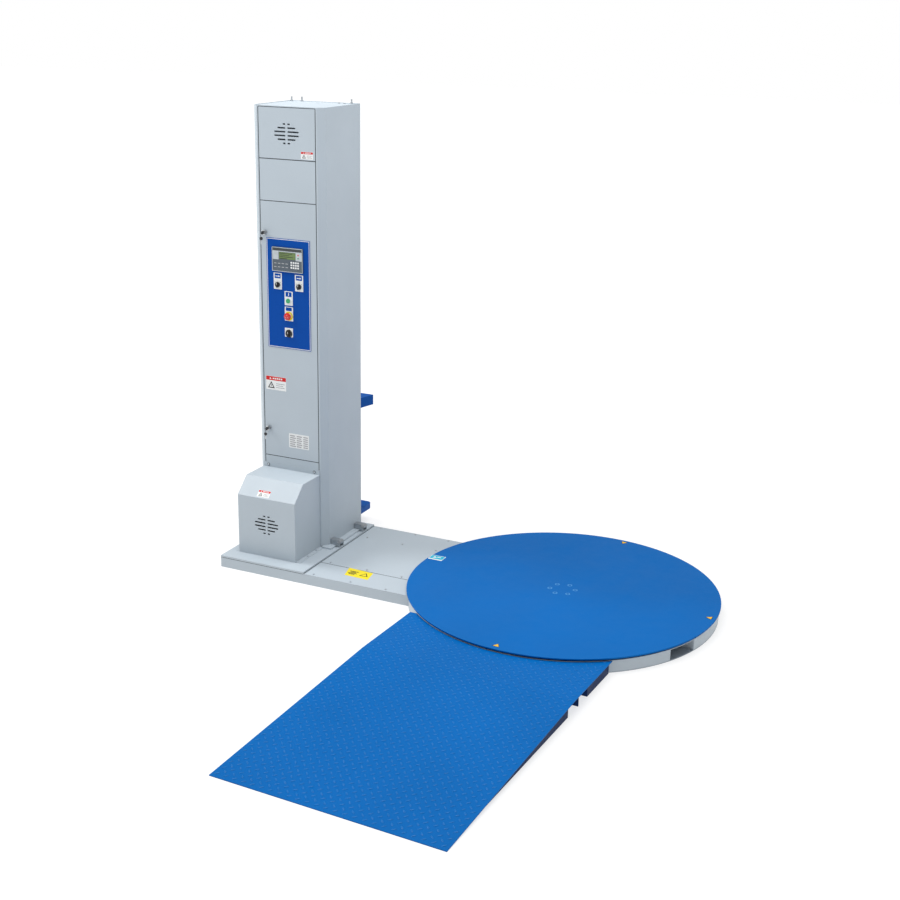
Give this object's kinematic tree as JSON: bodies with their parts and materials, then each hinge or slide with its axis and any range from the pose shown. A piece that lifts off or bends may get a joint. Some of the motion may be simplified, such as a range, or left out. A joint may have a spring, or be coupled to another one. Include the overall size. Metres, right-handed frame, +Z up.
{
  "type": "turntable pallet wrapper",
  "caption": "Low turntable on a floor ring, joined by a bridge to a folding mast with a climbing film carriage, a hinged control door and a loose loading ramp.",
  "frame": {"origin": "turntable axis at floor level", "axes": "+X from the mast towards the turntable, +Y away from the ramp, +Z up along the turntable axis"},
  "size_m": [2.702, 3.1637, 2.5275],
  "materials": {
    "base_paint": "satin powder coat",
    "inner_paint": "satin powder coat",
    "mast_paint": "fine textured powder coat",
    "disc_paint": "smooth semi-gloss enamel",
    "ramp_paint": "semi-gloss enamel on chequer plate",
    "rib_paint": "semi-gloss enamel",
    "carriage_paint": "satin powder coat",
    "panel_paint": "satin printed panel",
    "steel": "machined steel",
    "zinc": "zinc plated",
    "dark_steel": "blackened steel",
    "motor": "painted casting",
    "roller_rubber": "moulded rubber",
    "black_plastic": "moulded plastic",
    "display": "moulded bezel",
    "label_white": "engraved legend plate",
    "green_button": "moulded plastic",
    "red_button": "moulded plastic",
    "electrics": "moulded housings on a plate"
  },
  "bodies": {
    "base": {"base_ring": "base_paint", "ring_floor": "inner_paint", "fork_pockets": "inner_paint", "bridge_frame": "base_paint", "bridge_cover": "base_paint", "bridge_side_cover": "base_paint", "mast_base_box": "base_paint", "mast_base_plate": "base_paint", "centre_post": "steel", "roller_brackets": "steel", "cover_screws": "zinc", "motor_cover": "base_paint", "drive_motor": "motor", "drive_gearbox": "motor", "drive_chain": "dark_steel", "hinge_lugs": "dark_steel"},
    "turntable": {"turntable_disc": "disc_paint", "turntable_sprocket": "steel", "centre_bolts": "disc_paint"},
    "roller_1": {"support_roller_1": "roller_rubber"},
    "roller_2": {"support_roller_2": "roller_rubber"},
    "roller_3": {"support_roller_3": "roller_rubber"},
    "roller_4": {"support_roller_4": "roller_rubber"},
    "roller_5": {"support_roller_5": "roller_rubber"},
    "roller_6": {"support_roller_6": "roller_rubber"},
    "drive_wheel": {"drive_sprocket": "steel"},
    "mast": {"mast_shell": "mast_paint", "mast_foot": "base_paint", "mast_cap": "mast_paint", "mast_hinge_bar": "dark_steel", "vent_hatch": "mast_paint", "fixed_panels": "mast_paint", "guide_rails": "steel", "lift_motor": "motor", "lift_chain": "dark_steel", "cap_bolts": "zinc", "door_hinge_pins": "zinc", "electrics_plate": "electrics"},
    "lift_drive": {"lift_drive_sprocket": "steel"},
    "lift_idler": {"lift_idler_sprocket": "steel"},
    "door": {"main_door": "mast_paint", "control_panel": "panel_paint", "display_unit": "display", "legend_plates": "label_white"},
    "left_knob": {"left_selector": "black_plastic"},
    "right_knob": {"right_selector": "black_plastic"},
    "switch_knob": {"main_switch": "black_plastic"},
    "start_key": {"start_button": "green_button"},
    "stop_key": {"stop_button": "red_button"},
    "lock_top": {"upper_lock": "zinc"},
    "lock_bottom": {"lower_lock": "zinc"},
    "carriage": {"carriage_frame": "carriage_paint", "carriage_top": "carriage_paint", "carriage_floor": "carriage_paint"},
    "stretch_a": {"stretch_roller_a": "roller_rubber"},
    "stretch_b": {"stretch_roller_b": "roller_rubber"},
    "spindle": {"film_spindle": "steel"},
    "ramp": {"ramp_deck": "ramp_paint", "ramp_ribs": "rib_paint"}
  },
  "joints": [
    {"name": "turntable_spin", "type": "hinge", "parent": "base", "child": "turntable", "pos_m": [0, 0, 0.04], "axis": [0, 0, 1], "continuous": true},
    {"name": "roller_1_spin", "type": "hinge", "parent": "base", "child": "roller_1", "pos_m": [0.66, 0, 0.0496], "axis": [1, 0, 0], "continuous": true},
    {"name": "roller_2_spin", "type": "hinge", "parent": "base", "child": "roller_2", "pos_m": [0.33, 0.57158, 0.0496], "axis": [0.5, 0.866, 0], "continuous": true},
    {"name": "roller_3_spin", "type": "hinge", "parent": "base", "child": "roller_3", "pos_m": [-0.33, 0.57158, 0.0496], "axis": [-0.5, 0.866, 0], "continuous": true},
    {"name": "roller_4_spin", "type": "hinge", "parent": "base", "child": "roller_4", "pos_m": [-0.63751, 0.17082, 0.0496], "axis": [-0.9659, 0.2588, 0], "continuous": true},
    {"name": "roller_5_spin", "type": "hinge", "parent": "base", "child": "roller_5", "pos_m": [-0.33, -0.57158, 0.0496], "axis": [-0.5, -0.866, 0], "continuous": true},
    {"name": "roller_6_spin", "type": "hinge", "parent": "base", "child": "roller_6", "pos_m": [0.33, -0.57158, 0.0496], "axis": [0.5, -0.866, 0], "continuous": true},
    {"name": "drive_spin", "type": "hinge", "parent": "base", "child": "drive_wheel", "pos_m": [-1.6275, -0.179, 0.033], "axis": [0, 0, 1], "continuous": true},
    {"name": "mast_fold", "type": "hinge", "parent": "base", "child": "mast", "pos_m": [-1.357, 0.16, 0.092], "axis": [0, 1, 0], "range_deg": [0, 90]},
    {"name": "carriage_lift", "type": "slide", "parent": "mast", "child": "carriage", "axis": [0, 0, 1], "range_m": [0, 1.65]},
    {"name": "lift_drive_spin", "type": "hinge", "parent": "mast", "child": "lift_drive", "pos_m": [-1.6275, 0.19, 2.3145], "axis": [1, 0, 0], "continuous": true},
    {"name": "lift_idler_spin", "type": "hinge", "parent": "mast", "child": "lift_idler", "pos_m": [-1.6275, 0.19, 0.19], "axis": [1, 0, 0], "continuous": true},
    {"name": "door_open", "type": "hinge", "parent": "mast", "child": "door", "pos_m": [-1.4755, -0.0285, 1.287], "axis": [0, 0, 1], "range_deg": [0, 105]},
    {"name": "left_selector_turn", "type": "hinge", "parent": "door", "child": "left_knob", "pos_m": [-1.697, -0.045, 1.554], "axis": [0, -1, 0], "range_deg": [-45, 45]},
    {"name": "right_selector_turn", "type": "hinge", "parent": "door", "child": "right_knob", "pos_m": [-1.563, -0.045, 1.554], "axis": [0, -1, 0], "range_deg": [-45, 45]},
    {"name": "main_switch_turn", "type": "hinge", "parent": "door", "child": "switch_knob", "pos_m": [-1.632, -0.045, 1.288], "axis": [0, -1, 0], "range_deg": [0, 90]},
    {"name": "start_press", "type": "slide", "parent": "door", "child": "start_key", "axis": [0, 1, 0], "range_m": [0, 0.004], "stiffness_N_per_m": 600},
    {"name": "stop_press", "type": "slide", "parent": "door", "child": "stop_key", "axis": [0, 1, 0], "range_m": [0, 0.004], "stiffness_N_per_m": 900},
    {"name": "upper_lock_turn", "type": "hinge", "parent": "door", "child": "lock_top", "pos_m": [-1.773, -0.045, 1.834], "axis": [0, 1, 0], "range_deg": [0, 90]},
    {"name": "lower_lock_turn", "type": "hinge", "parent": "door", "child": "lock_bottom", "pos_m": [-1.773, -0.045, 0.73], "axis": [0, 1, 0], "range_deg": [0, 90]},
    {"name": "stretch_a_spin", "type": "hinge", "parent": "carriage", "child": "stretch_a", "pos_m": [-1.536, 0.4345, 0.4], "axis": [0, 0, 1], "continuous": true},
    {"name": "stretch_b_spin", "type": "hinge", "parent": "carriage", "child": "stretch_b", "pos_m": [-1.536, 0.4985, 0.4], "axis": [0, 0, 1], "continuous": true},
    {"name": "film_spin", "type": "hinge", "parent": "carriage", "child": "spindle", "pos_m": [-1.697, 0.5045, 0.4], "axis": [0, 0, 1], "continuous": true},
    {"name": "ramp_slide", "type": "slide", "parent": "base", "child": "ramp", "axis": [-0.0436, -0.999, 0], "range_m": [0, 1]}
  ],
  "couplings": [
    {"joint": "roller_1_spin", "follows": "turntable_spin", "ratio": -27.5},
    {"joint": "roller_2_spin", "follows": "turntable_spin", "ratio": -27.5},
    {"joint": "roller_3_spin", "follows": "turntable_spin", "ratio": -27.5},
    {"joint": "roller_4_spin", "follows": "turntable_spin", "ratio": -27.5},
    {"joint": "roller_5_spin", "follows": "turntable_spin", "ratio": -27.5},
    {"joint": "roller_6_spin", "follows": "turntable_spin", "ratio": -27.5},
    {"joint": "drive_spin", "follows": "turntable_spin", "ratio": 3.75},
    {"joint": "lift_drive_spin", "follows": "carriage_lift", "rad_per_m": 28.571},
    {"joint": "lift_idler_spin", "follows": "carriage_lift", "rad_per_m": 28.571},
    {"joint": "stretch_b_spin", "follows": "stretch_a_spin", "ratio": -1.5}
  ]
}
